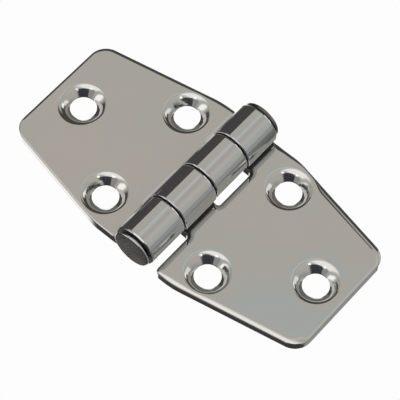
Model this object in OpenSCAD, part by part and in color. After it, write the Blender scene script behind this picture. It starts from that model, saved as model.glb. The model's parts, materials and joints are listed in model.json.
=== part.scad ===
// Strap hinge, two polished plate leaves on one pin.
// The pin lies along Y, the leaves lie flat along X, backs at z = 0.

/* [Leaves] */
// Thickness of the leaf plate
leaf_t = 2.2; // [1.8:0.1:2.6]
// Pin axis to the outer edge of a leaf
leaf_reach = 37.5; // [35:0.5:42]
// Half width beside the end knuckle
roll_half = 18.75; // [18.6:0.05:18.9]
// Half width beside the end notch
notch_half = 19.05; // [18.9:0.05:19.2]
// Half width where the taper would meet the outer edge
outer_half = 13.35; // [12.5:0.05:14]
// Taper angle of the long edges
taper_deg = 11.6; // [11:0.1:12]
// Radius of the two outer corners
corner_r = 4; // [3:0.5:5]
// Radius of the bend between shoulder and taper
bend_r = 19; // [12:1:20]
// Radius of the corner beside the end notch
tip_r = 1.1; // [0.8:0.1:1.4]
// Pin axis to the edge of the notches
notch_x = 5.4; // [5.2:0.1:5.8]
// Radius in the inner corners of the notches
notch_r = 0.7; // [0.4:0.1:1]

/* [Screw holes] */
// Diameter of the screw holes
hole_d = 5.5; // [5:0.1:5.8]
// Straight height left under the countersink
land_h = 0.4; // [0.3:0.1:0.8]
// Countersink diameter at the leaf face
csk_d = 9.3; // [8.8:0.1:9.8]
// Pin axis to the outer screw hole
outer_hole_x = 30.6; // [30:0.1:31.5]
// Pin axis to the inner pair of screw holes
inner_hole_x = 13.4; // [13:0.1:14]
// Spacing of the inner pair
inner_pitch = 24.8; // [24:0.1:25.4]

/* [Barrel] */
// Outside diameter of the knuckles
barrel_d = 9.5; // [9.3:0.1:9.7]
// Height of the pin axis above the leaf backs
axis_z = 5.05; // [4.9:0.05:5.2]
// Length of one knuckle with its gap
knuckle_pitch = 9.5; // [9.3:0.05:9.6]
// Position of the middle joint along the barrel
joint_y = 0.45; // [0:0.05:0.6]
// Gap between neighbouring knuckles
knuckle_gap = 0.35; // [0.25:0.05:0.5]
// Rounding of the knuckle ends
knuckle_r = 0.3; // [0.2:0.05:0.4]

/* [Pin] */
// Diameter of the pin
pin_d = 5; // [4.6:0.1:5.2]
// Radial running clearance in the turning leaf
run_gap = 0.05; // [0.03:0.01:0.08]
// Diameter of the two pin heads
head_d = 8.6; // [8.2:0.1:9]
// Thickness of a pin head
head_t = 0.8; // [0.7:0.05:1]
// Gap between a head and the end knuckle
head_gap = 0.3; // [0.2:0.05:0.4]
// Rounding of the head rims
head_r = 0.3; // [0.2:0.05:0.35]
// Diameter of the spigot that carries the cap
spigot_d = 3.4; // [3:0.1:4]

/* [Hidden] */
$fn = 96;
barrel_r = barrel_d / 2;
pin_r = pin_d / 2;
bend_t = bend_r * tan(taper_deg / 2);
corner_t = corner_r * tan((90 - taper_deg) / 2);
joint_1 = joint_y - knuckle_pitch;
joint_3 = joint_y + knuckle_pitch;
near_face = -roll_half - head_gap;
far_face = roll_half + head_gap;

// bend point of the outline for a shoulder of half width h
function bend_x(h) = leaf_reach - (h - outer_half) / tan(taper_deg);

// half of the flat outline, shoulder at +y with half width h
module half_outline(h) {
    x_b = bend_x(h);
    polygon([
        [notch_x, -1],
        [notch_x, h],
        [x_b - bend_t, h],
        [x_b + bend_t * cos(taper_deg), h - bend_t * sin(taper_deg)],
        [leaf_reach - corner_t * cos(taper_deg), outer_half + corner_t * sin(taper_deg)],
        [leaf_reach, outer_half - corner_t],
        [leaf_reach, -1]
    ]);
    translate([leaf_reach - corner_r, outer_half - corner_t])
        circle(r = corner_r);
    intersection() {
        translate([x_b - bend_t, h - bend_r])
            circle(r = bend_r);
        translate([x_b - bend_t, h - 4])
            square([bend_t * (1 + cos(taper_deg)), 5]);
    }
}

// sharp corner piece that is cut away beside the end notch
module tip_cut() {
    translate([notch_x, -notch_half])
        difference() {
            translate([-1, -1])
                square([tip_r + 1, tip_r + 1]);
            translate([tip_r, tip_r])
                circle(r = tip_r);
        }
}

// whole outline of a leaf without its knuckle webs
module outline() {
    half_outline(roll_half);
    difference() {
        mirror([0, 1])
            half_outline(notch_half);
        tip_cut();
    }
}

// fillet between a web and the notch edge, corner at the origin
module notch_fillet() {
    difference() {
        translate([-notch_r, 0])
            square([notch_r + 0.5, notch_r]);
        translate([-notch_r, notch_r])
            circle(r = notch_r);
    }
}

// web between the plate and a knuckle that runs from y0 to y1
module web(y0, y1) {
    translate([0, y1, 0])
        rotate([90, 0, 0])
            linear_extrude(y1 - y0)
                polygon([
                    [0.8, 0.6],
                    [5.2, 0],
                    [notch_x + 0.4, 0],
                    [notch_x + 0.4, leaf_t],
                    [1.2, leaf_t]
                ]);
}

// knuckle body with rounded rims from y0 to y1
module knuckle(y0, y1) {
    translate([0, y0, axis_z])
        rotate([-90, 0, 0])
            rotate_extrude() {
                translate([0, knuckle_r])
                    square([barrel_r, y1 - y0 - 2 * knuckle_r]);
                square([barrel_r - knuckle_r, y1 - y0]);
                translate([barrel_r - knuckle_r, knuckle_r])
                    circle(r = knuckle_r);
                translate([barrel_r - knuckle_r, y1 - y0 - knuckle_r])
                    circle(r = knuckle_r);
            }
}

// countersunk screw hole
module screw_hole(x, y) {
    translate([x, y, -1])
        cylinder(d = hole_d, h = leaf_t + 2);
    translate([x, y, land_h])
        cylinder(d1 = hole_d, d2 = csk_d, h = leaf_t - land_h);
    translate([x, y, leaf_t])
        cylinder(d = csk_d, h = 1);
}

// leaf lying toward +x, end knuckle from e0 to e1, inner knuckle from i0 to i1
module leaf(e0, e1, i0, i1, bore_r) {
    difference() {
        union() {
            linear_extrude(leaf_t) {
                outline();
                translate([notch_x, e0])
                    mirror([0, 1])
                        notch_fillet();
                translate([notch_x, i1])
                    notch_fillet();
                translate([notch_x, i0])
                    mirror([0, 1])
                        notch_fillet();
            }
            web(e0, e1);
            web(i0, i1);
            knuckle(e0, e1);
            knuckle(i0, i1);
        }
        translate([0, -30, axis_z])
            rotate([-90, 0, 0])
                cylinder(r = bore_r, h = 60);
        screw_hole(outer_hole_x, 0);
        screw_hole(inner_hole_x, inner_pitch / 2);
        screw_hole(inner_hole_x, -inner_pitch / 2);
    }
}

// leaf toward -x that holds the pin
module leaf_a() {
    color([0.78, 0.77, 0.75])
        rotate([0, 0, 180])
            leaf(
                knuckle_gap / 2 - joint_1,
                roll_half,
                knuckle_gap / 2 - joint_3,
                -joint_y - knuckle_gap / 2,
                pin_r
            );
}

// leaf toward +x that turns on the pin
module leaf_b() {
    color([0.76, 0.77, 0.77])
        leaf(
            joint_3 + knuckle_gap / 2,
            roll_half,
            joint_1 + knuckle_gap / 2,
            joint_y - knuckle_gap / 2,
            pin_r + run_gap
        );
}

// flat round head with a rounded outer rim, inner side at the origin
module head() {
    rotate_extrude() {
        square([head_d / 2, head_t - head_r]);
        square([head_d / 2 - head_r, head_t]);
        translate([head_d / 2 - head_r, head_t - head_r])
            circle(r = head_r);
    }
}

// pin with its solid head at the near end
module hinge_pin() {
    color([0.7, 0.7, 0.7]) {
        translate([0, near_face, axis_z])
            rotate([90, 0, 0])
                head();
        translate([0, near_face - head_t / 4, axis_z])
            rotate([-90, 0, 0])
                cylinder(r = pin_r, h = far_face - near_face + head_t / 4);
        translate([0, far_face - 0.5, axis_z])
            rotate([-90, 0, 0])
                cylinder(d = spigot_d, h = head_t + 0.5);
    }
}

// cap pressed on the far end of the pin
module pin_cap() {
    color([0.7, 0.7, 0.7])
        translate([0, far_face, axis_z])
            rotate([-90, 0, 0])
                difference() {
                    head();
                    translate([0, 0, -1])
                        cylinder(d = spigot_d, h = head_t + 2);
                }
}

leaf_a();
leaf_b();
hinge_pin();
pin_cap();
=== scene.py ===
import json
import math

import bpy
import numpy as np
from mathutils import Matrix, Vector
from mathutils.geometry import delaunay_2d_cdt


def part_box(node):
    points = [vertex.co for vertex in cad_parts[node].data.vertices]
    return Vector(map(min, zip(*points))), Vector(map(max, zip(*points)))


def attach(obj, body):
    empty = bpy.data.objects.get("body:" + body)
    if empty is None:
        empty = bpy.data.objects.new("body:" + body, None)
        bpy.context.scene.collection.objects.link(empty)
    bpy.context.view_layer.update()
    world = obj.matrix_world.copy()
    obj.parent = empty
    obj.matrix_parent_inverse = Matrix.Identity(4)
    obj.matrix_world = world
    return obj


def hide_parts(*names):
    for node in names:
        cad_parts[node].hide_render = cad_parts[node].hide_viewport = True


MM = 0.001

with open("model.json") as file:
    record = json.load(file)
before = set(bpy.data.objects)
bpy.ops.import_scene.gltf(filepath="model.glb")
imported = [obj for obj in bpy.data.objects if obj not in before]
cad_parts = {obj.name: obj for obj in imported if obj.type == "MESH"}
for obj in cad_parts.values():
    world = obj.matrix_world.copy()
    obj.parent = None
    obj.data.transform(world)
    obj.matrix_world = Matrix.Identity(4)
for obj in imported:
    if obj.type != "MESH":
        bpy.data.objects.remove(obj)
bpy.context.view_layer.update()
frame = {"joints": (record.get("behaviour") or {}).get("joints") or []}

# ---------------------------------------------------------------- sizes, in millimetres and radians
leaf_low, leaf_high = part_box("leaf_b")
pin_low, pin_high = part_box("hinge_pin")
cap_low, cap_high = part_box("pin_cap")

AXIS_Z = frame["joints"][0]["pos_m"][2] / MM
REACH = leaf_high.x / MM
ROLL_HALF = leaf_high.y / MM
NOTCH_HALF = -leaf_low.y / MM
BARREL_R = leaf_high.z / MM - AXIS_Z
HEAD_R = cap_high.x / MM
NEAR_END = pin_low.y / MM
FAR_END = pin_high.y / MM
HEAD_T = (cap_high.y - cap_low.y) / MM

LEAF_T = 2.2
OUTER_HALF = 13.35
TAPER = math.radians(11.6)
CORNER_R = 4.0
BEND_R = 19.0
TIP_R = 1.1
NOTCH_X = 5.4
NOTCH_R = 0.7
HOLE_R = 2.75
CSK_R = 4.65
LAND_H = 0.4
LAND_BEVEL = 0.08
HOLES = ((30.6, 0.0), (13.4, 12.4), (13.4, -12.4))
JOINT_Y = 0.45
PITCH = 9.5
HALF_GAP = 0.175
PIN_R = 2.5
RUN_GAP = 0.05
SPIGOT_R = 1.7
RIM_BEND = 0.07
# knuckle rims: length of the worn flat, radius of the nose
END_RIM = (0.26, 0.15)
FAR_RIM = (0.22, 0.15)
NEAR_RIM = (0.07, 0.3)
SPRING = 0.15
SPRING_TURN = 0.8
HEAD_EDGE = 0.28
HEAD_LIP = 0.42
CAP_LIP = 0.7
NECK_R = 3.6
FIT_GAP = 0.01
CAP_BEVEL = 0.05
SPIGOT_BEVEL = 0.06

WEB_END_X = 0.3
WEB_RISE_X = 5.2
WEB_SLOPE = 0.0816
WEB_INSET = 0.05
BACK_BEVEL = 0.12
BLEND_R = 6.8
RIM_SOFT = 0.22
WEAR_POWER = 2.2
EDGE_DROP = 0.85
# wear along the webs, inside the notches and at the notch corner: width, slope, size of the last round
WEB_WEAR = (1.7, 0.45, 0.25)
TAB_WEAR = (0.35, 0.2, 0.2)
TIP_WIDE = 0.9
WEAR_BLUR = 11
# side of a countersink whose rim is buffed wider
BUFF_X, BUFF_Y = 0.34, 0.94
ROLL_END = math.radians(-17.0)
ROLL_START = math.radians(285.0)
ROLL_EDGE = 0.35
CONE_EDGE = 4.5
CONE_BOW = 0.25
BLEND_START = 5.4
RING_CLEAR = 5.36
SPARSE_FROM = 5.3
# width of the painted shade strip on the top face along the notch edges
NOTCH_SHADE_WIDE = 0.4
CHATTER = 0.04
CHATTER_PITCH = 0.42

# surface kinds, kept as material indices while a leaf is put together
TOP, WALL, BACK, ROLL, RING_END, LAND, CONE, SEAM, NOTCH_SHADE = range(9)


# ---------------------------------------------------------------- small helpers
def smooth(x, low, high):
    """Smoothstep of x from 0 at low to 1 at high."""
    s = np.clip((x - low) / (high - low), 0.0, 1.0)
    return s * s * (3.0 - 2.0 * s)


def arc(cx, cy, r, start, end, step=4.0):
    """Points on an arc, angles in degrees, both ends included."""
    count = max(2, int(abs(end - start) / step) + 1)
    angles = np.radians(np.linspace(start, end, count))
    return [(cx + r * math.cos(a), cy + r * math.sin(a)) for a in angles]


def fill_line(points, step):
    """A closed outline with extra points, so that no straight run is longer than step."""
    out = []
    for i, p in enumerate(points):
        q = points[(i + 1) % len(points)]
        count = max(1, int(math.ceil(math.dist(p, q) / step)))
        out += [(p[0] + (q[0] - p[0]) * k / count, p[1] + (q[1] - p[1]) * k / count) for k in range(count)]
    return out


def new_object(name, mesh):
    """An object for the mesh, in the scene's own collection."""
    obj = bpy.data.objects.new(name, mesh)
    bpy.context.scene.collection.objects.link(obj)
    return obj


# ---------------------------------------------------------------- leaf outline and relief
def side(half, sign):
    """Shoulder bend, taper and outer corner of one long edge, from the barrel outwards."""
    bend_x = REACH - (half - OUTER_HALF) / math.tan(TAPER)
    bend_t = BEND_R * math.tan(TAPER / 2)
    corner_t = CORNER_R * math.tan((math.pi / 2 - TAPER) / 2)
    run = arc(bend_x - bend_t, half - BEND_R, BEND_R, 90.0, 90.0 - math.degrees(TAPER), 1.0)
    run += arc(REACH - CORNER_R, OUTER_HALF - corner_t, CORNER_R, 90.0 - math.degrees(TAPER), 0.0, 3.0)
    return [(x, sign * y) for x, y in run]


def tab(y_low, y_high, low_fillet, high_fillet):
    """Web that reaches under a knuckle, walked from its high side to its low side."""
    run = []
    if high_fillet:
        run += arc(NOTCH_X - NOTCH_R, y_high + NOTCH_R, NOTCH_R, 0.0, -90.0, 10.0)
    run += [(WEB_END_X, y_high), (WEB_END_X, y_low)]
    if low_fillet:
        run += arc(NOTCH_X - NOTCH_R, y_low - NOTCH_R, NOTCH_R, 90.0, 0.0, 10.0)
    return run


def knuckle_ends(joint):
    """Ends of a leaf's inner and end knuckle, joint being where the barrel's middle joint is."""
    inner = (joint - PITCH + HALF_GAP, joint - HALF_GAP)
    end = (joint + PITCH + HALF_GAP, ROLL_HALF)
    return inner, end


def leaf_outline(joint):
    """Closed outline of a leaf that lies toward +x with its webs, anticlockwise."""
    (inner_low, inner_high), (end_low, _) = knuckle_ends(joint)
    run = arc(NOTCH_X + TIP_R, -NOTCH_HALF + TIP_R, TIP_R, 180.0, 270.0, 7.5)
    run += side(NOTCH_HALF, -1.0)
    run += side(ROLL_HALF, 1.0)[::-1]
    run += [(NOTCH_X, ROLL_HALF), (NOTCH_X - 0.8, ROLL_HALF - WEB_INSET)]
    run += tab(end_low + WEB_INSET, ROLL_HALF - WEB_INSET, True, False)
    run += tab(inner_low + WEB_INSET, inner_high - WEB_INSET, True, True)
    return np.array(fill_line(run, 0.45))


def outward(points):
    """Outward unit normals of a closed anticlockwise outline."""
    d = np.roll(points, -1, 0) - np.roll(points, 1, 0)
    n = np.stack([d[:, 1], -d[:, 0]], 1)
    return n / np.linalg.norm(n, axis=1, keepdims=True)


class Relief:
    """Height of a leaf's face: flat, worn down toward the outline, and countersunk at the holes.

    The wear is a gentle slope over width wide that ends in a tight round of size edge.
    """

    def __init__(self, joint, wear, buffed):
        self.line = leaf_outline(joint)
        self.normal = outward(self.line)
        self.buffed = buffed
        x, y = self.line[:, 0], self.line[:, 1]
        web = x < NOTCH_X + 0.6
        wide, slope, edge = wear(x, self.normal)
        near_tip = (np.abs(y + NOTCH_HALF) < 2.0) & (x < NOTCH_X + 2.0)
        wide[near_tip] = np.minimum(wide[near_tip], TIP_WIDE)
        inside_web = x < NOTCH_X - 0.75
        for rows, worn in ((web, WEB_WEAR), (inside_web, TAB_WEAR)):
            wide[rows], slope[rows], edge[rows] = worn
        kernel = np.hanning(WEAR_BLUR) / np.hanning(WEAR_BLUR).sum()
        self.shape = np.stack([self.wrap_smooth(values, kernel) for values in (wide, slope, edge)], 1)

    @staticmethod
    def wrap_smooth(values, kernel):
        """Values along the closed outline, smoothed with the kernel."""
        pad = len(kernel) // 2
        return np.convolve(np.concatenate([values[-pad:], values, values[:pad]]), kernel, "valid")

    def nearest(self, p):
        """Distance to the outline, and the outline's normal and edge shape there."""
        a = self.line
        b = np.roll(a, -1, 0)
        ab = b - a
        length2 = (ab * ab).sum(1)
        dist = np.empty(len(p))
        norm = np.empty((len(p), 2))
        shape = np.empty((len(p), 3))
        for k in range(0, len(p), 400):
            q = p[k:k + 400, None, :]
            t = np.clip(((q - a) * ab).sum(2) / length2, 0.0, 1.0)
            gap = np.linalg.norm(q - (a + t[:, :, None] * ab), axis=2)
            i = gap.argmin(1)
            j = (i + 1) % len(a)
            s = t[np.arange(len(i)), i][:, None]
            rows = slice(k, k + len(i))
            dist[rows] = gap[np.arange(len(i)), i]
            n = self.normal[i] * (1 - s) + self.normal[j] * s
            norm[rows] = n / np.linalg.norm(n, axis=1, keepdims=True)
            shape[rows] = self.shape[i] * (1 - s) + self.shape[j] * s
        return dist, norm, shape

    @staticmethod
    def wear_at(dist, shape):
        """Drop of the worn edge, and its slope as a (rise, run) pair."""
        wide, slope, edge = shape.T
        far = np.clip((wide - dist) / wide, 0.0, 1.0)
        near = np.clip((edge - dist) / edge, 0.0, 1.0)
        round_run = np.sqrt(1.0 - near * near)
        drop = slope * wide / WEAR_POWER * far ** WEAR_POWER + EDGE_DROP * edge * (1.0 - round_run)
        gentle = slope * far ** (WEAR_POWER - 1.0)
        return drop, EDGE_DROP * near + gentle * round_run, round_run

    def countersink(self, p):
        """Depth and slope vector of the countersinks, whose rims are buffed wider on one side."""
        depth = np.zeros(len(p))
        slope = np.zeros((len(p), 2))
        grade = (LEAF_T - LAND_H) / (CSK_R - HOLE_R)
        for number, (hx, hy) in enumerate(HOLES):
            v = p - np.array([hx, hy])
            r = np.maximum(np.linalg.norm(v, axis=1), 1e-6)
            e = v / r[:, None]
            lean = np.maximum(e[:, 1] * BUFF_Y + e[:, 0] * BUFF_X, 0.0) ** 2
            k = RIM_SOFT + self.buffed[number] * lean
            fade = 1.0 - smooth(r, BLEND_START, BLEND_R)
            inward = (CSK_R - r) / (CSK_R - HOLE_R)
            bow = 1.0 - CONE_BOW * (1.0 - inward)
            x = grade * (CSK_R - r) * bow
            steep = grade * (1.0 - CONE_BOW * (1.0 - 2.0 * inward))
            root = np.sqrt(x * x + k * k)
            depth += 0.5 * (x + root) * fade
            steep = steep + CHATTER * np.sin(2 * math.pi * r / CHATTER_PITCH + number) * (inward > 0.1)
            slope += e * (0.5 * steep * (1.0 + x / root) * fade)[:, None]
        return depth, slope

    def height(self, p):
        """Height of the face above the leaf's back."""
        dist, _, shape = self.nearest(p)
        drop, _, _ = self.wear_at(dist, shape)
        depth, _ = self.countersink(p)
        return LEAF_T - drop - depth

    def normals(self, p):
        """Exact surface normals of the face."""
        dist, norm, shape = self.nearest(p)
        _, rise, run = self.wear_at(dist, shape)
        tilt = np.arctan2(rise, run + 1e-9)
        _, slope = self.countersink(p)
        across = norm * np.sin(tilt)[:, None] - slope * np.cos(tilt)[:, None]
        n = np.concatenate([across, np.cos(tilt)[:, None]], 1)
        return n / np.linalg.norm(n, axis=1, keepdims=True)


def wear_a(x, normal):
    """Edge wear of leaf_a: even on its far edges, almost none on the near one."""
    wide = np.full(len(x), 1.1)
    slope = np.full(len(x), 0.55)
    edge = np.full(len(x), 0.3)
    up = (normal[:, 1] > 0.3) & (x > NOTCH_X + 0.5)
    wide[up] = 0.8
    slope[up] = 0.14
    return wide, slope, edge


def wear_b(x, normal):
    """Edge wear of leaf_b: broad and soft on its -y edge, broad past the screw hole on its +y edge."""
    wide = np.full(len(x), 0.8)
    slope = np.full(len(x), 0.25)
    edge = np.full(len(x), 0.3)
    up = (normal[:, 1] > 0.3) & (x > NOTCH_X + 0.5)
    past = smooth(x, 16.0, 18.5) * (1.0 - smooth(x, 35.0, 37.0))
    pinch = smooth(x, 9.0, 12.0) * (1.0 - smooth(x, 16.0, 18.0))
    wide = np.where(up, 1.05 + 0.75 * past - 0.3 * pinch, wide)
    slope = np.where(up, 0.55, slope)
    down = (normal[:, 1] < -0.3) & (x > NOTCH_X + 0.5)
    wide = np.where(down, 1.7, wide)
    slope = np.where(down, 0.53, slope)
    return wide, slope, edge


def back_height(x):
    """Height of the leaf's back: flat, and rising under the barrel to meet the roll."""
    return WEB_SLOPE * np.maximum(WEB_RISE_X - x, 0.0)


# ---------------------------------------------------------------- leaf mesh
HOLE_STEPS = 96
HOLE_RADII = (*np.arange(HOLE_R, 5.05, 0.1), 5.2, 5.45, 5.8, 6.2, BLEND_R)


def circle(cx, cy, r, shift=0.0):
    """Points of a circle about a hole, turned by shift steps."""
    a = (np.arange(HOLE_STEPS) + shift) * 2 * math.pi / HOLE_STEPS
    return np.stack([cx + r * np.cos(a), cy + r * np.sin(a)], 1)


def triangles_inside(points, loops):
    """Constrained triangles of points, inside the first loop and outside the others, which are holes."""
    edges = []
    for first, count in loops:
        edges += [(first + i, first + (i + 1) % count) for i in range(count)]
    verts, _, faces, _, _, _ = delaunay_2d_cdt([Vector(p) for p in points], edges, [], 1, 1e-7)
    if len(verts) != len(points):
        raise RuntimeError("the triangulation added or merged points")
    verts = np.array([(v.x, v.y) for v in verts])
    faces = np.array([f for f in faces if len(f) == 3])
    hole = np.zeros(len(verts), int)
    for number, (first, count) in enumerate(loops[1:]):
        hole[first:first + count] = number + 1
    own = hole[faces]
    faces = faces[(own[:, 0] == 0) | (own.min(1) != own.max(1))]
    corner = verts[faces]
    ab, ac = corner[:, 1] - corner[:, 0], corner[:, 2] - corner[:, 0]
    flipped = ab[:, 0] * ac[:, 1] - ab[:, 1] * ac[:, 0] < 0
    faces[flipped] = faces[flipped][:, ::-1]
    return verts, faces


def inside(p, line):
    """True for points inside a closed outline."""
    a = line
    b = np.roll(a, -1, 0)
    result = np.zeros(len(p), bool)
    for k in range(0, len(p), 2000):
        q = p[k:k + 2000]
        above = (a[None, :, 1] > q[:, None, 1]) != (b[None, :, 1] > q[:, None, 1])
        with np.errstate(divide="ignore", invalid="ignore"):
            cut = a[:, 0] + (q[:, None, 1] - a[:, 1]) * (b[:, 0] - a[:, 0]) / (b[:, 1] - a[:, 1])
        result[k:k + 2000] = (above & (q[:, None, 0] < cut)).sum(1) % 2 == 1
    return result


def thin_out(points, taken, gap):
    """Points that are at least gap away from every taken point."""
    kept = []
    for k in range(0, len(points), 400):
        q = points[k:k + 400]
        near = np.linalg.norm(q[:, None] - taken[None], axis=2).min(1)
        kept.append(q[near > gap])
    return np.concatenate(kept)


def face_points(relief):
    """Outline, hole rims, then free points of the face, with the loops of the first two."""
    parts = [relief.line]
    loops = [(0, len(relief.line))]
    for hx, hy in HOLES:
        loops.append((sum(len(p) for p in parts), HOLE_STEPS))
        parts.append(circle(hx, hy, HOLE_R))
    for hx, hy in HOLES:
        for i, r in enumerate(HOLE_RADII[1:]):
            ring = circle(hx, hy, r, 0.5 * (i % 2))
            far, _, shape = relief.nearest(ring)
            clear = 0.9 * shape[:, 0] if r > SPARSE_FROM else 0.3
            parts.append(ring[(far > clear) & inside(ring, relief.line)])
    wide, _, edge = relief.shape.T
    steps = [edge * (1.0 - math.sin(t)) for t in np.radians(np.linspace(12.0, 84.0, 7))]
    steps += [edge + (wide - edge) * share for share in (0.0, 0.12, 0.28, 0.46, 0.66, 0.85, 1.0)]
    for off in steps:
        ring = relief.line - relief.normal * off[:, None]
        far, _, _ = relief.nearest(ring)
        clear = np.min([np.hypot(ring[:, 0] - hx, ring[:, 1] - hy) for hx, hy in HOLES], 0)
        parts.append(ring[(far > off * 0.985) & inside(ring, relief.line) & (clear > RING_CLEAR)])
    grid = np.stack(np.meshgrid(np.arange(7.0, 37.0, 2.5), np.arange(-18.0, 18.1, 2.5)), -1).reshape(-1, 2)
    to_hole = np.min([np.hypot(grid[:, 0] - hx, grid[:, 1] - hy) for hx, hy in HOLES], 0)
    grid = grid[inside(grid, relief.line) & (to_hole > HOLE_R)]
    far, _, shape = relief.nearest(grid)
    parts.append(thin_out(grid[far > shape[:, 0] + 0.2], np.concatenate(parts), 0.5))
    return np.concatenate(parts), loops


def plate_mesh(relief):
    """Closed mesh of the plate with its webs: vertices, faces and each face's kind."""
    points, loops = face_points(relief)
    flat, faces = triangles_inside(points, loops)
    verts = [np.column_stack([flat, relief.height(flat)])]
    count = len(relief.line)
    hole_first = [first for first, _ in loops[1:]]
    polys = [tuple(f) for f in faces]
    middle = flat[faces].mean(1)
    to_hole = np.min([np.hypot(middle[:, 0] - hx, middle[:, 1] - hy) for hx, hy in HOLES], 0)
    to_edge, _, _ = relief.nearest(middle)
    # painted shade: top faces in a strip along the notch edges, beside the other leaf's knuckles, get a dark
    # steel
    painted_shade = (to_edge < NOTCH_SHADE_WIDE) & (np.abs(middle[:, 0] - NOTCH_X) < NOTCH_SHADE_WIDE)
    kinds = np.where(to_hole < CONE_EDGE, CONE, np.where(painted_shade, NOTCH_SHADE, TOP)).tolist()

    def add(ring):
        """Adds a ring of vertices and gives the number of its first one."""
        verts.append(ring)
        return sum(len(v) for v in verts[:-1])

    def band(upper, lower, size, kind, flip):
        """Joins two rings of the same size with quads."""
        for i in range(size):
            j = (i + 1) % size
            quad = (upper + i, lower + i, lower + j, upper + j)
            polys.append(quad[::-1] if flip else quad)
            kinds.append(kind)

    low_z = back_height(relief.line[:, 0])
    rings = [0]
    for turn in np.radians((0.0, 30.0, 60.0, 90.0)):
        step_in = BACK_BEVEL * (1.0 - math.cos(turn))
        xy = relief.line - relief.normal * step_in
        rings.append(add(np.column_stack([xy, low_z + BACK_BEVEL * (1.0 - math.sin(turn))])))
    for upper, lower in zip(rings, rings[1:]):
        band(upper, lower, count, WALL, False)
    back_parts = [relief.line - relief.normal * BACK_BEVEL]
    back_loops = [(0, count)]
    hole_rings = []
    for number, (hx, hy) in enumerate(HOLES):
        chain = [hole_first[number]]
        for turn in np.radians((0.0, 45.0, 90.0)):
            r = HOLE_R + LAND_BEVEL * (1.0 - math.cos(turn))
            z = np.full(HOLE_STEPS, LAND_BEVEL * (1.0 - math.sin(turn)))
            chain.append(add(np.column_stack([circle(hx, hy, r), z])))
        for upper, lower in zip(chain, chain[1:]):
            band(upper, lower, HOLE_STEPS, LAND, True)
        back_loops.append((sum(len(p) for p in back_parts), HOLE_STEPS))
        back_parts.append(circle(hx, hy, HOLE_R + LAND_BEVEL))
        hole_rings.append(chain[-1])
    back = np.concatenate(back_parts)
    _, back_faces = triangles_inside(back, back_loops)
    remap = np.concatenate([rings[-1] + np.arange(count)] + [f + np.arange(HOLE_STEPS) for f in hole_rings])
    for f in back_faces:
        polys.append(tuple(remap[f[::-1]]))
        kinds.append(BACK)
    return np.concatenate(verts), polys, kinds


def lathe(profile, kinds, steps, closed):
    """Solid turned about the pin axis from (radius, y) points; an open profile gets flat ends."""
    angles = np.arange(steps) * 2 * math.pi / steps
    verts = []
    polys = []
    tags = []
    for r, y in profile:
        verts.append(np.column_stack([r * np.sin(angles), np.full(steps, y), AXIS_Z + r * np.cos(angles)]))
    rows = len(profile)
    for k in range(rows if closed else rows - 1):
        n = (k + 1) % rows
        for i in range(steps):
            j = (i + 1) % steps
            polys.append((k * steps + i, k * steps + j, n * steps + j, n * steps + i))
            tags.append(kinds[k])
    if not closed:
        polys.append(tuple(range(steps - 1, -1, -1)))
        polys.append(tuple((rows - 1) * steps + i for i in range(steps)))
        tags += [TOP, TOP]
    return np.concatenate(verts), polys, tags


def rim_curve(rim):
    """Worn rim of a knuckle, from its side to its end: distance to the end, drop and tilt.

    A short bend, a worn flat that leans from 18 to 28 degrees, and a round nose; rim is (length, radius).
    """
    worn, nose = rim
    lean = np.radians((0.0, 18.0, 28.0, 90.0))
    knots = np.cumsum((0.0, RIM_BEND, worn, nose * (lean[3] - lean[2])))
    run = np.concatenate([np.linspace(knots[i], knots[i + 1], 5)[:-1] for i in range(3)] + [knots[-1:]])
    tilt = np.interp(run, knots, lean)
    middle = 0.5 * (tilt[1:] + tilt[:-1])
    step = np.diff(run)
    along = np.concatenate([[0.0], np.cumsum(np.cos(middle) * step)])
    drop = np.concatenate([[0.0], np.cumsum(np.sin(middle) * step)])
    return along[-1] - along, drop, tilt


def knuckle_mesh(y0, y1, rims, bore_r):
    """Rolled knuckle from y0 to y1: worn rims, and a rounded end where the roll stops above the leaf."""
    low_gap, low_drop, _ = rim_curve(rims[0])
    high_gap, high_drop, _ = rim_curve(rims[1])
    profile = [(bore_r, y0)]
    profile += [(BARREL_R - drop, y0 + gap) for gap, drop in zip(low_gap[::-1], low_drop[::-1])]
    profile += [(BARREL_R - drop, y1 - gap) for gap, drop in zip(high_gap, high_drop)]
    kinds = [RING_END] + [ROLL] * (len(profile) - 2) + [RING_END, RING_END]
    profile.append((bore_r, y1))
    profile = np.array(profile)
    round_steps = ROLL_EDGE * (1.0 - np.cos(np.radians(np.linspace(0.0, 90.0, 7)))) / BARREL_R
    even_steps = np.linspace(ROLL_END + round_steps[-1], ROLL_START, 160)[1:]
    angles = np.concatenate([ROLL_END + round_steps, even_steps])
    verts = []
    for angle in angles:
        inset = max(ROLL_EDGE - (angle - ROLL_END) * BARREL_R, 0.0)
        dip = ROLL_EDGE - math.sqrt(ROLL_EDGE ** 2 - min(inset, ROLL_EDGE) ** 2)
        sprung = SPRING * (1.0 - smooth(angle - ROLL_END, 0.0, SPRING_TURN))
        r = bore_r + (profile[:, 0] - bore_r) * (BARREL_R + sprung - dip - bore_r) / (BARREL_R - bore_r)
        verts.append(np.column_stack([r * math.cos(angle), profile[:, 1], AXIS_Z + r * math.sin(angle)]))
    rows = len(profile)
    polys = []
    tags = []
    for i in range(len(angles) - 1):
        for k in range(rows):
            n = (k + 1) % rows
            polys.append((i * rows + k, i * rows + n, (i + 1) * rows + n, (i + 1) * rows + k))
            tags.append(kinds[k])
    last = (len(angles) - 1) * rows
    polys += [tuple(range(rows - 1, -1, -1)), tuple(last + k for k in range(rows))]
    tags += [SEAM, SEAM]
    return np.concatenate(verts), polys, tags


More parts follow.
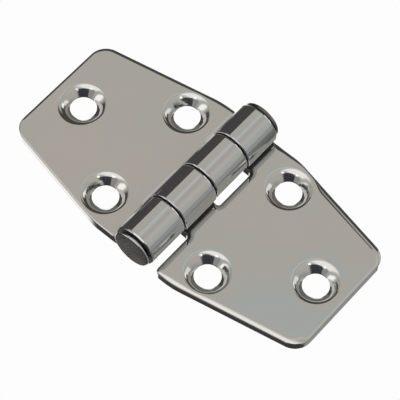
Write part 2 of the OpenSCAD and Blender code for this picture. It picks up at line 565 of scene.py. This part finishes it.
def build(name, verts, polys, kinds):
    """Mesh from points in millimetres, with each face's kind as its material index."""
    mesh = bpy.data.meshes.new(name)
    faces = [tuple(int(i) for i in p) for p in polys]
    mesh.from_pydata([tuple(v) for v in np.asarray(verts) * MM], [], faces)
    mesh.polygons.foreach_set("material_index", np.array(kinds, np.int32))
    for _ in range(max(kinds) + 1):
        mesh.materials.append(None)
    mesh.update()
    return mesh


def union(name, meshes):
    """One closed mesh from overlapping closed ones, with each face's kind kept."""
    base = new_object(name, meshes[0])
    helpers = []
    for extra in meshes[1:]:
        other = new_object(name + "_part", extra)
        helpers.append(other)
        mod = base.modifiers.new("join", "BOOLEAN")
        mod.operation = "UNION"
        mod.solver = "EXACT"
        mod.object = other
    bpy.context.view_layer.update()
    made = bpy.data.meshes.new_from_object(base.evaluated_get(bpy.context.evaluated_depsgraph_get()))
    for o in helpers + [base]:
        bpy.data.objects.remove(o)
    made.name = name
    return made


def lathe_normals(co, y0, y1, edges):
    """Normals of a turned outside: radial, with ends at y0 and y1 that are rounded by the two edges."""
    rad = co[:, [0, 2]] - np.array([0.0, AXIS_Z])
    e = rad / np.maximum(np.linalg.norm(rad, axis=1), 1e-9)[:, None]
    low = np.clip((y0 + edges[0] - co[:, 1]) / edges[0], 0.0, 1.0)
    high = np.clip((co[:, 1] - y1 + edges[1]) / edges[1], 0.0, 1.0)
    along = high - low
    out = np.sqrt(1.0 - along * along)
    return np.column_stack([e[:, 0] * out, along, e[:, 1] * out])


def rim_tilt(gap, rim):
    """Tilt of a knuckle's side at a distance from its end."""
    to_end, _, tilt = rim_curve(rim)
    return np.interp(gap, to_end[::-1], tilt[::-1])


def roll_normals(co, y0, y1, rims, twist):
    """Normals of a knuckle's outside, which rounds over where the roll ends.

    A knuckle is not quite round: twist turns its normals on the side away from its leaf.
    """
    angle = np.arctan2(co[:, 2] - AXIS_Z, co[:, 0])
    reach = co[:, [0, 2]] - np.array([0.0, AXIS_Z])
    radius = np.linalg.norm(reach, axis=1)
    past = np.mod(angle - ROLL_END + 0.01, 2 * math.pi) - 0.01
    spread = np.clip(past / SPRING_TURN, 0.0, 1.0)
    flare = SPRING * 6.0 * spread * (1.0 - spread) / SPRING_TURN / BARREL_R
    side_on = -math.copysign(1.0, twist) * np.cos(angle)
    bent = smooth(side_on, -0.34, 0.17) * (1.0 - smooth(side_on, 0.45, 0.8))
    turned = angle + twist * bent + flare
    tilt = rim_tilt(y1 - co[:, 1], rims[1]) - rim_tilt(co[:, 1] - y0, rims[0])
    out = np.cos(tilt)
    n = np.column_stack([np.cos(turned) * out, np.sin(tilt), np.sin(turned) * out])
    lean = np.clip((ROLL_EDGE - past * radius) / ROLL_EDGE, 0.0, 1.0)[:, None]
    down = np.column_stack([np.sin(angle), np.zeros(len(co)), -np.cos(angle)])
    n = n * np.sqrt(1.0 - lean * lean) + down * lean
    return n / np.linalg.norm(n, axis=1, keepdims=True)


def set_normals(mesh, pick):
    """Custom normals: pick(kind, coordinates, face normals) gives them for the corners of one kind."""
    count = len(mesh.loops)
    vertex = np.empty(count, np.int32)
    mesh.loops.foreach_get("vertex_index", vertex)
    co = np.empty(len(mesh.vertices) * 3)
    mesh.vertices.foreach_get("co", co)
    co = co.reshape(-1, 3) / MM
    sizes = np.array([p.loop_total for p in mesh.polygons])
    kinds = np.empty(len(mesh.polygons), np.int32)
    mesh.polygons.foreach_get("material_index", kinds)
    flat = np.empty(len(mesh.polygons) * 3)
    mesh.polygons.foreach_get("normal", flat)
    normal = np.repeat(flat.reshape(-1, 3), sizes, axis=0)
    owner = np.repeat(kinds, sizes)
    for kind in np.unique(owner):
        rows = owner == kind
        normal[rows] = pick(kind, co[vertex[rows]], normal[rows])
    mesh.polygons.foreach_set("use_smooth", np.ones(len(mesh.polygons), bool))
    mesh.normals_split_custom_set([tuple(n) for n in normal])


def leaf_normals(relief, knuckles, rims, twists):
    """Chooser of a leaf's normals, for set_normals."""
    def pick(kind, co, flat):
        xy = co[:, :2]
        if kind in (TOP, CONE, NOTCH_SHADE):
            return relief.normals(xy)
        if kind == WALL:
            _, norm, _ = relief.nearest(xy)
            down = np.clip((BACK_BEVEL - (co[:, 2] - back_height(co[:, 0]))) / BACK_BEVEL, 0.0, 1.0)
            return np.column_stack([norm * np.sqrt(1.0 - down * down)[:, None], -down])
        if kind == LAND:
            centres = np.array(HOLES)
            gap = np.linalg.norm(xy[:, None] - centres[None], axis=2)
            v = centres[gap.argmin(1)] - xy
            v = v / np.linalg.norm(v, axis=1, keepdims=True)
            down = np.clip((LAND_BEVEL - co[:, 2]) / LAND_BEVEL, 0.0, 1.0)
            return np.column_stack([v * np.sqrt(1.0 - down * down)[:, None], -down])
        if kind == ROLL:
            result = np.empty_like(co)
            middle = [0.5 * (a + b) for a, b in knuckles]
            which = np.abs(co[:, 1:2] - np.array(middle)[None]).argmin(1)
            for i, (a, b) in enumerate(knuckles):
                rows = which == i
                result[rows] = roll_normals(co[rows], a, b, rims[i], twists[i])
            return result
        return flat
    return pick


def make_leaf(name, joint, wear, buffed, rims, twists, bore_r, turned):
    """One leaf as a single closed mesh, toward +x, or turned half a turn about the vertical."""
    relief = Relief(joint, wear, buffed)
    knuckles = knuckle_ends(joint)
    parts = [plate_mesh(relief)]
    parts += [knuckle_mesh(low, high, pair, bore_r) for (low, high), pair in zip(knuckles, rims)]
    mesh = union(name, [build(name, *part) for part in parts])
    set_normals(mesh, leaf_normals(relief, knuckles, rims, twists))
    if turned:
        mesh.transform(Matrix.Rotation(math.pi, 4, "Z"))
        mesh.update()
    return mesh


def rounded_rim(outer_y, sign, lip_t):
    """Rim of a pin head, with a lip lip_t thick, from its face to the neck behind it: (radius, y) points."""
    centre = HEAD_R - HEAD_EDGE
    turns = np.radians(np.linspace(90.0, 0.0, 9))
    run = []
    for t in turns:
        run.append((centre + HEAD_EDGE * math.cos(t), outer_y + sign * HEAD_EDGE * (1.0 - math.sin(t))))
    lip = outer_y + sign * lip_t
    return run + [(HEAD_R, lip), (NECK_R, lip), (NECK_R, outer_y + sign * HEAD_T)]


RIM_KINDS = [ROLL] * 9 + [RING_END, SEAM]


def turned_piece(name, profile, kinds, closed, rims):
    """Piece turned about the pin axis; rims lists the (low y, high y) of its rounded heads."""
    verts, polys, tags = lathe(profile, kinds, 128, closed)
    mesh = build(name, verts, polys, tags)

    def pick(kind, co, flat):
        if kind == ROLL:
            low, high = rims
            return lathe_normals(co, low, high, (HEAD_EDGE, HEAD_EDGE))
        if kind == LAND:
            return lathe_normals(co, -99.0, 99.0, (1.0, 1.0))
        return flat

    set_normals(mesh, pick)
    return mesh


def make_pin():
    """Near head, shaft, and the spigot through the far cap, as one turned solid."""
    rim = rounded_rim(NEAR_END, 1.0, HEAD_LIP)
    shaft_r = PIN_R - FIT_GAP
    spigot_r = SPIGOT_R - FIT_GAP
    profile = rim + [
        (shaft_r, NEAR_END + HEAD_T),
        (shaft_r, FAR_END - HEAD_T),
        (spigot_r, FAR_END - HEAD_T),
        (spigot_r, FAR_END - SPIGOT_BEVEL),
        (spigot_r - SPIGOT_BEVEL, FAR_END),
    ]
    kinds = RIM_KINDS + [RING_END, LAND, RING_END, LAND, RING_END, TOP]
    return turned_piece("hinge_pin", profile, kinds, False, (NEAR_END, 99.0))


def make_cap():
    """Ring-shaped cap with a rounded rim, pressed on the spigot."""
    rim = rounded_rim(FAR_END, -1.0, CAP_LIP)
    profile = [(SPIGOT_R, FAR_END - CAP_BEVEL), (SPIGOT_R + CAP_BEVEL, FAR_END)]
    profile += rim + [(SPIGOT_R, FAR_END - HEAD_T)]
    kinds = [RING_END, TOP] + RIM_KINDS + [RING_END, LAND]
    return turned_piece("pin_cap", profile[::-1], shift_kinds(kinds), True, (-99.0, FAR_END))


def shift_kinds(kinds):
    """Kinds of the bands of a closed profile that is walked the other way round."""
    turned = kinds[::-1]
    return turned[1:] + turned[:1]


# ---------------------------------------------------------------- materials
def node(tree, kind, x, y, **values):
    """New node at (x, y) in the tree, with its properties set."""
    made = tree.nodes.new(kind)
    made.location = (x, y)
    for key, value in values.items():
        setattr(made, key, value)
    return made


def noise(tree, coords, scale, detail, stretch, x, y):
    """Noise on object coordinates, stretched by a factor along each axis."""
    mapping = node(tree, "ShaderNodeMapping", x - 200, y)
    mapping.inputs["Scale"].default_value = stretch
    tree.links.new(coords, mapping.inputs["Vector"])
    made = node(tree, "ShaderNodeTexNoise", x, y)
    made.inputs["Scale"].default_value = scale
    made.inputs["Detail"].default_value = detail
    tree.links.new(mapping.outputs["Vector"], made.inputs["Vector"])
    return made.outputs["Fac"]


def ramp(tree, value, low, high, out_low, out_high, x, y):
    """The value mapped from low..high to out_low..out_high."""
    made = node(tree, "ShaderNodeMapRange", x, y)
    made.inputs["From Min"].default_value = low
    made.inputs["From Max"].default_value = high
    made.inputs["To Min"].default_value = out_low
    made.inputs["To Max"].default_value = out_high
    tree.links.new(value, made.inputs["Value"])
    return made.outputs["Result"]


def steel(name, warm, cool, metallic, rough_low, rough_high, wave, scratch):
    """Stainless steel: tint drift, uneven polish, shallow waves and fine polishing lines."""
    mat = bpy.data.materials.new(name)
    mat.use_nodes = True
    tree = mat.node_tree
    tree.nodes.clear()
    out = node(tree, "ShaderNodeOutputMaterial", 900, 0)
    bsdf = node(tree, "ShaderNodeBsdfPrincipled", 600, 0)
    tree.links.new(bsdf.outputs["BSDF"], out.inputs["Surface"])
    coords = node(tree, "ShaderNodeTexCoord", -900, 0).outputs["Object"]
    drift = noise(tree, coords, 55.0, 3.0, (1.0, 1.0, 1.0), -400, 300)
    tint = node(tree, "ShaderNodeMix", 0, 300, data_type="RGBA")
    tint.inputs["A"].default_value = (*warm, 1.0)
    tint.inputs["B"].default_value = (*cool, 1.0)
    tree.links.new(ramp(tree, drift, 0.35, 0.65, 0.0, 1.0, -200, 300), tint.inputs["Factor"])
    tree.links.new(tint.outputs["Result"], bsdf.inputs["Base Color"])
    smear = noise(tree, coords, 160.0, 4.0, (1.0, 2.5, 1.0), -400, 0)
    tree.links.new(ramp(tree, smear, 0.35, 0.7, rough_low, rough_high, -200, 0), bsdf.inputs["Roughness"])
    bsdf.inputs["Metallic"].default_value = metallic
    waves = noise(tree, coords, 120.0, 1.0, (1.0, 1.0, 1.0), -400, -300)
    lines = noise(tree, coords, 900.0, 2.0, (1.0, 1.0, 1.0), -400, -600)
    wave_bump = node(tree, "ShaderNodeBump", 100, -300)
    wave_bump.inputs["Strength"].default_value = wave
    wave_bump.inputs["Distance"].default_value = 0.0001
    tree.links.new(waves, wave_bump.inputs["Height"])
    line_bump = node(tree, "ShaderNodeBump", 300, -300)
    line_bump.inputs["Strength"].default_value = scratch
    line_bump.inputs["Distance"].default_value = 0.00001
    tree.links.new(lines, line_bump.inputs["Height"])
    tree.links.new(wave_bump.outputs["Normal"], line_bump.inputs["Normal"])
    tree.links.new(line_bump.outputs["Normal"], bsdf.inputs["Normal"])
    return mat


# ---------------------------------------------------------------- studio
def card_group():
    """Node group: how much of a soft-edged rectangular card lies in a direction."""
    group = bpy.data.node_groups.new("Card", "ShaderNodeTree")
    face = group.interface
    for name in ("Direction", "Centre", "Across", "Up"):
        face.new_socket(name, in_out="INPUT", socket_type="NodeSocketVector")
    for name in ("Left", "Right", "Bottom", "Top", "Soft"):
        face.new_socket(name, in_out="INPUT", socket_type="NodeSocketFloat")
    face.new_socket("Mask", in_out="OUTPUT", socket_type="NodeSocketFloat")
    start = node(group, "NodeGroupInput", -900, 0)
    end = node(group, "NodeGroupOutput", 900, 0)

    def dot(name, y):
        """How far the direction reaches along one of the card's axes."""
        made = node(group, "ShaderNodeVectorMath", -700, y, operation="DOT_PRODUCT")
        group.links.new(start.outputs["Direction"], made.inputs[0])
        group.links.new(start.outputs[name], made.inputs[1])
        return made.outputs["Value"]

    def math_node(operation, a, b, x, y):
        """Math node of two inputs, each a number or a socket."""
        made = node(group, "ShaderNodeMath", x, y, operation=operation)
        for i, value in enumerate((a, b)):
            if isinstance(value, float):
                made.inputs[i].default_value = value
            else:
                group.links.new(value, made.inputs[i])
        return made.outputs[0]

    depth = dot("Centre", 0)
    safe = math_node("MAXIMUM", depth, 1e-4, -500, 0)
    total = math_node("GREATER_THAN", depth, 0.001, -500, -200)
    for name, low, high, y in (("Across", "Left", "Right", 300), ("Up", "Bottom", "Top", -400)):
        offset = math_node("DIVIDE", dot(name, y), safe, -500, y)
        soft = start.outputs["Soft"]
        rise = math_node("SUBTRACT", offset, start.outputs[low], -300, y)
        fall = math_node("SUBTRACT", start.outputs[high], offset, -300, y - 150)
        for side_value, dy in ((rise, 0), (fall, -150)):
            share = math_node("DIVIDE", side_value, soft, -100, y + dy)
            middle = math_node("ADD", share, 0.5, 50, y + dy)
            step = node(group, "ShaderNodeMapRange", 200, y + dy, interpolation_type="SMOOTHSTEP")
            group.links.new(middle, step.inputs["Value"])
            total = math_node("MULTIPLY", total, step.outputs["Result"], 450, y + dy)
    group.links.new(total, end.inputs["Mask"])
    return group


# walls of the studio: direction of the middle, across, up
UP = ((0, 0, 1), (1, 0, 0), (0, 1, 0))
RIGHT = ((1, 0, 0), (0, 1, 0), (0, 0, 1))
LEFT = ((-1, 0, 0), (0, 1, 0), (0, 0, 1))
BACK_SIDE = ((0, 1, 0), (1, 0, 0), (0, 0, 1))
FRONT = ((0, -1, 0), (1, 0, 0), (0, 0, 1))
CORNER = ((0.643, -0.766, 0), (0.766, 0.643, 0), (0, 0, 1))
DOWN = ((0, 0, -1), (1, 0, 0), (0, 1, 0))
SLANT = ((0, 0, 1), (0.757, -0.653, 0), (0.653, 0.757, 0))

DARK = (0.045, 0.041, 0.04)
BACKDROP = (0.982, 0.982, 0.982, 1.0)

# wall, left, right, bottom, top, softness, colour; later cards cover earlier ones
CARDS = (
    (RIGHT, -0.4, 1.2, -1.6, 0.1, 0.3, (0.22, 0.22, 0.21)),
    (BACK_SIDE, -2.0, 2.0, -1.6, -0.05, 0.2, (0.16, 0.16, 0.15)),
    (RIGHT, -1.2, 1.2, -0.05, 2.4, 0.2, (0.59, 0.59, 0.55)),
    (RIGHT, -1.2, 1.2, -0.05, 0.28, 0.3, (0.40, 0.40, 0.38)),
    (BACK_SIDE, 0.1, 1.1, 0.2, 1.5, 0.15, (0.57, 0.57, 0.54)),
    (BACK_SIDE, -0.28, 0.15, 0.72, 1.6, 0.12, (0.58, 0.58, 0.55)),
    (UP, -1.12, 2.6, -1.5, 0.70, 0.04, (0.62, 0.585, 0.535)),
    (SLANT, -0.49, -0.38, -1.5, 0.70, 0.05, (0.575, 0.60, 0.59)),
    (UP, -0.13, 0.12, -1.5, 0.70, 0.06, (0.70, 0.69, 0.665)),
    (UP, 0.22, 0.50, -1.5, 0.70, 0.12, (0.57, 0.545, 0.51)),
    (UP, 0.65, 1.30, -1.5, 0.70, 0.2, (0.66, 0.63, 0.58)),
    (UP, -0.62, 0.75, -1.5, -0.1, 0.35, (1.32, 1.30, 1.26)),
    (LEFT, -8.0, -0.30, -0.1, 1.4, 0.3, (0.62, 0.61, 0.58)),
    (LEFT, -0.35, 0.30, 0.48, 1.2, 0.06, (0.50, 0.49, 0.46)),
    (LEFT, -1.75, -0.55, 0.1, 0.75, 0.25, (1.5, 1.5, 1.45)),
    (FRONT, -0.60, -0.30, -0.1, 0.78, 0.12, (0.55, 0.55, 0.53)),
    (FRONT, -0.30, 0.25, -0.1, 0.78, 0.12, (0.36, 0.36, 0.36)),
    (BACK_SIDE, 0.3, 0.85, 0.0, 0.42, 0.12, (1.15, 1.15, 1.1)),
    (BACK_SIDE, 0.08, 0.34, 0.28, 0.55, 0.08, (1.6, 1.6, 1.55)),
    (FRONT, 0.20, 1.3, -0.05, 0.80, 0.08, (0.014, 0.017, 0.03)),
    (RIGHT, -1.2, -0.30, -0.05, 0.84, 0.3, (0.014, 0.017, 0.03)),
    (CORNER, -0.55, 0.5, -0.05, 0.86, 0.05, (0.014, 0.017, 0.03)),
    (FRONT, -0.06, 0.14, 0.76, 0.96, 0.05, (2.0, 2.0, 2.1)),
    (RIGHT, -0.42, -0.20, 0.78, 0.98, 0.05, (2.0, 2.0, 2.1)),
    (DOWN, -1.3, 0.1, -0.3, 1.3, 0.12, (1.3, 1.3, 1.25)),
    (DOWN, 0.2, 1.0, 0.1, 1.2, 0.15, (0.4, 0.4, 0.39)),
)


def make_world():
    """Studio that lights the hinge and shows in its polish; the camera itself sees the plain backdrop."""
    world = bpy.data.worlds.new("studio")
    bpy.context.scene.world = world
    world.use_nodes = True
    tree = world.node_tree
    tree.nodes.clear()
    out = node(tree, "ShaderNodeOutputWorld", 1400, 0)
    direction = node(tree, "ShaderNodeTexCoord", -900, 0).outputs["Generated"]
    group = card_group()
    colour = None
    for number, (wall, left, right, bottom, top, soft, tone) in enumerate(CARDS):
        card = node(tree, "ShaderNodeGroup", -600, -250 * number)
        card.node_tree = group
        tree.links.new(direction, card.inputs["Direction"])
        for name, value in zip(("Centre", "Across", "Up"), wall):
            card.inputs[name].default_value = value
        for name, value in zip(("Left", "Right", "Bottom", "Top", "Soft"), (left, right, bottom, top, soft)):
            card.inputs[name].default_value = value
        mix = node(tree, "ShaderNodeMix", -300 + 120 * number, -250 * number, data_type="RGBA")
        tree.links.new(card.outputs["Mask"], mix.inputs["Factor"])
        if colour is None:
            mix.inputs["A"].default_value = (*DARK, 1.0)
        else:
            tree.links.new(colour, mix.inputs["A"])
        mix.inputs["B"].default_value = (*tone, 1.0)
        colour = mix.outputs["Result"]
    seen = node(tree, "ShaderNodeBackground", 900, 200)
    seen.inputs["Color"].default_value = BACKDROP
    lit = node(tree, "ShaderNodeBackground", 900, -100)
    tree.links.new(colour, lit.inputs["Color"])
    path = node(tree, "ShaderNodeLightPath", 900, 500)
    pick = node(tree, "ShaderNodeMixShader", 1200, 0)
    tree.links.new(path.outputs["Is Camera Ray"], pick.inputs["Fac"])
    tree.links.new(lit.outputs["Background"], pick.inputs[1])
    tree.links.new(seen.outputs["Background"], pick.inputs[2])
    tree.links.new(pick.outputs["Shader"], out.inputs["Surface"])


def make_floor():
    """Plain white floor, just below the leaves' backs."""
    mesh = bpy.data.meshes.new("floor")
    size, low = 12.0, -0.00004
    corners = [(-size, -size, low), (size, -size, low), (size, size, low), (-size, size, low)]
    mesh.from_pydata(corners, [], [(0, 1, 2, 3)])
    floor = new_object("floor", mesh)
    mat = bpy.data.materials.new("floor_white")
    mat.use_nodes = True
    tree = mat.node_tree
    tree.nodes.clear()
    out = node(tree, "ShaderNodeOutputMaterial", 400, 0)
    glow = node(tree, "ShaderNodeEmission", 200, 0)
    glow.inputs["Color"].default_value = BACKDROP
    tree.links.new(glow.outputs["Emission"], out.inputs["Surface"])
    mesh.materials.append(mat)
    floor.visible_glossy = False
    floor.visible_diffuse = False
    floor.visible_shadow = False


CAMERA_ANGLES = (-51.39, 60.95, 2.484)
CAMERA_DISTANCE = 0.4352
CAMERA_TARGET = (0.001055, -0.000356, 0.0)
CAMERA_LENS = 196.596


def make_camera():
    """Camera at the photo's azimuth, elevation and roll in degrees, with its distance and lens."""
    azimuth, elevation, roll = (math.radians(a) for a in CAMERA_ANGLES)
    target = Vector(CAMERA_TARGET)
    back = Vector((
        math.cos(elevation) * math.cos(azimuth),
        math.cos(elevation) * math.sin(azimuth),
        math.sin(elevation),
    ))
    level = Vector((-math.sin(azimuth), math.cos(azimuth), 0.0))
    above = back.cross(level)
    right = level * math.cos(roll) + above * math.sin(roll)
    up = above * math.cos(roll) - level * math.sin(roll)
    data = bpy.data.cameras.new("camera")
    data.sensor_width = 36.0
    data.lens = CAMERA_LENS
    data.clip_start = 0.01
    data.clip_end = 100.0
    camera = bpy.data.objects.new("camera", data)
    bpy.context.scene.collection.objects.link(camera)
    turn = Matrix((right, up, back)).transposed()
    camera.matrix_world = Matrix.Translation(target + back * CAMERA_DISTANCE) @ turn.to_4x4()
    bpy.context.scene.camera = camera


# ---------------------------------------------------------------- pieces
def place(name, mesh, table, body):
    """Gives a piece its materials by kind of surface, and sets it in place of its CAD node."""
    kinds = np.empty(len(mesh.polygons), np.int32)
    mesh.polygons.foreach_get("material_index", kinds)
    used = sorted(set(table), key=lambda mat: mat.name)
    index = np.array([used.index(mat) for mat in table], np.int32)
    mesh.materials.clear()
    for mat in used:
        mesh.materials.append(mat)
    mesh.polygons.foreach_set("material_index", index[kinds])
    obj = new_object(name + "_look", mesh)
    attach(obj, body)
    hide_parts(name)


def make_pieces():
    """The steels, then the four pieces with a steel for each kind of surface."""
    # name, warm tint, cool tint, metallic, roughness from and to, waves, scratches
    polished = steel("polished_steel", (0.62, 0.605, 0.585), (0.60, 0.61, 0.60), 0.92, 0.03, 0.06, 0.05, 0.1)
    barrel = steel("barrel_steel", (0.605, 0.605, 0.60), (0.59, 0.61, 0.61), 0.92, 0.03, 0.06, 0.05, 0.1)
    edge = steel("edge_steel", (0.60, 0.59, 0.575), (0.58, 0.585, 0.58), 0.92, 0.06, 0.12, 0.1, 0.3)
    cone = steel("countersink_steel", (0.62, 0.605, 0.585), (0.60, 0.61, 0.60), 0.92, 0.07, 0.12, 0.2, 0.3)
    satin = steel("satin_steel", (0.58, 0.57, 0.55), (0.56, 0.565, 0.56), 0.92, 0.22, 0.36, 0.2, 0.6)
    # partly an unpolished cut finish, partly painted shade: dark steel on the knuckle ends, the bore, the
    # roll seams and the hidden faces of pin and cap, so the joint gaps and the seam read black
    unpolished_and_shade = steel("unpolished_steel", (0.16, 0.15, 0.145), (0.12, 0.115, 0.11), 0.85, 0.35, 0.5, 0.3, 0.6)
    # painted shade: dark steel for the strip along the notch edges and for the far cap's rounded rim
    painted_shade = steel("sheared_steel", (0.25, 0.24, 0.23), (0.20, 0.195, 0.19), 0.9, 0.2, 0.35, 0.3, 0.6)
    face = steel("pin_face_steel", (0.58, 0.57, 0.57), (0.54, 0.54, 0.55), 0.92, 0.1, 0.16, 0.3, 0.6)
    leaf_table = (polished, edge, satin, barrel, unpolished_and_shade, edge, cone, unpolished_and_shade, painted_shade)
    pin_table = (face, edge, edge, edge, unpolished_and_shade, edge, edge, edge, edge)
    # the cap's rounded rim (its ROLL faces) takes the dark steel as painted shade
    cap_table = (face, edge, edge, painted_shade, unpolished_and_shade, edge, edge, edge, edge)
    rims_b = ((NEAR_RIM, FAR_RIM), (NEAR_RIM, END_RIM))
    rims_a = ((FAR_RIM, NEAR_RIM), (FAR_RIM, END_RIM))
    twists_b = (math.radians(3.0), math.radians(5.0))
    twists_a = (math.radians(-1.5), math.radians(-0.5))
    buffed_b = (0.55, 0.5, 0.12)
    buffed_a = (0.45, 0.15, 0.12)
    loose_bore = PIN_R + RUN_GAP
    leaf_b = make_leaf("leaf_b", JOINT_Y, wear_b, buffed_b, rims_b, twists_b, loose_bore, False)
    leaf_a = make_leaf("leaf_a", -JOINT_Y, wear_a, buffed_a, rims_a, twists_a, PIN_R, True)
    place("leaf_b", leaf_b, leaf_table, "turning_leaf")
    place("leaf_a", leaf_a, leaf_table, "fixed_leaf")
    place("hinge_pin", make_pin(), pin_table, "fixed_leaf")
    place("pin_cap", make_cap(), cap_table, "fixed_leaf")


make_world()
make_floor()
make_camera()
make_pieces()
bpy.context.scene.view_settings.view_transform = "Standard"
